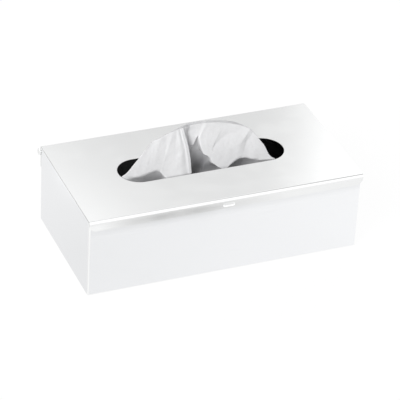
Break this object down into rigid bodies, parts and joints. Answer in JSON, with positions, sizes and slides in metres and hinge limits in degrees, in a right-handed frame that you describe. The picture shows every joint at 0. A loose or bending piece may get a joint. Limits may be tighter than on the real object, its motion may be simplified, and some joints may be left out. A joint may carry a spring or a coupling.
{
  "type": "wall tissue dispenser",
  "caption": "Box-shaped steel tissue dispenser with a hinged lid, a snap lip at the front and a long round-ended slot, holding a part-used pile with one tissue pulled up.",
  "frame": {"origin": "middle of the underside of the box, the face that goes against the wall", "axes": "+X along the box, -Y towards the side with the lid's front lip, +Z away from the wall, through the slot"},
  "size_m": [0.2532, 0.133, 0.1184],
  "materials": {
    "box_steel": "fine satin stainless steel outside, darkened inside",
    "lid_steel": "bright polished stainless steel outside, darkened inside",
    "hinge_steel": "bright drawn steel",
    "tissue_paper": "soft white tissue paper"
  },
  "bodies": {
    "box": {"box_body": "box_steel", "hinge_strap": "hinge_steel", "hinge_pin": "hinge_steel", "tissue_pile": "tissue_paper"},
    "lid": {"lid": "lid_steel", "pulled_tissue": "tissue_paper"}
  },
  "joints": [
    {"name": "lid_hinge", "type": "hinge", "parent": "box", "child": "lid", "pos_m": [0, 0.06525, 0.068], "axis": [-1, 0, 0], "range_deg": [0, 180]}
  ]
}
